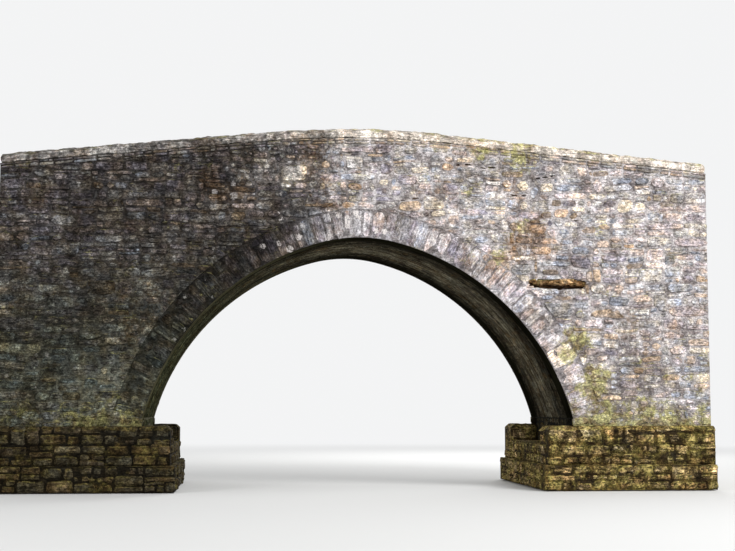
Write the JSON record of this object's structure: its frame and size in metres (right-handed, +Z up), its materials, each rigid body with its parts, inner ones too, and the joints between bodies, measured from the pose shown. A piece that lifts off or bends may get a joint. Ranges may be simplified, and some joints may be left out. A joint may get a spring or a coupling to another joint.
{
  "type": "stone arch bridge",
  "caption": "Small humped country road bridge of rubble stone, with a slightly pointed arch, stepped plinths, wing walls, fill, road surface and coped parapets.",
  "frame": {"origin": "middle of the bridge at the level where its base courses meet the river bed", "axes": "+X along the road, to the right as seen from downstream; +Y upstream, through the arch; +Z up"},
  "size_m": [15, 5.1, 7.65],
  "materials": {
    "rubble_wall": "rough, lime-pointed",
    "ring_stone": "rough-dressed",
    "soffit_masonry": "rough, lime-rendered",
    "base_stone": "rough, damp and stained",
    "coping_stone": "weathered mortar and stone",
    "rubble_fill": "loose rubble and earth",
    "road_metalling": "worn broken stone"
  },
  "bodies": {
    "root": {"downstream_left_spandrel": "rubble_wall", "downstream_right_spandrel": "rubble_wall", "upstream_left_spandrel": "rubble_wall", "upstream_right_spandrel": "rubble_wall", "downstream_left_wing_wall": "rubble_wall", "downstream_right_wing_wall": "rubble_wall", "upstream_left_wing_wall": "rubble_wall", "upstream_right_wing_wall": "rubble_wall", "downstream_parapet": "rubble_wall", "upstream_parapet": "rubble_wall", "left_end_wall": "rubble_wall", "right_end_wall": "rubble_wall", "left_abutment": "rubble_wall", "right_abutment": "rubble_wall", "downstream_arch_ring": "ring_stone", "upstream_arch_ring": "ring_stone", "arch_barrel": "soffit_masonry", "left_base_course": "base_stone", "right_base_course": "base_stone", "left_plinth": "base_stone", "right_plinth": "base_stone", "downstream_left_facing_course": "base_stone", "downstream_right_facing_course": "base_stone", "upstream_left_facing_course": "base_stone", "upstream_right_facing_course": "base_stone", "downstream_coping": "coping_stone", "upstream_coping": "coping_stone", "spandrel_fill": "rubble_fill", "roadway": "road_metalling"}
  },
  "joints": []
}
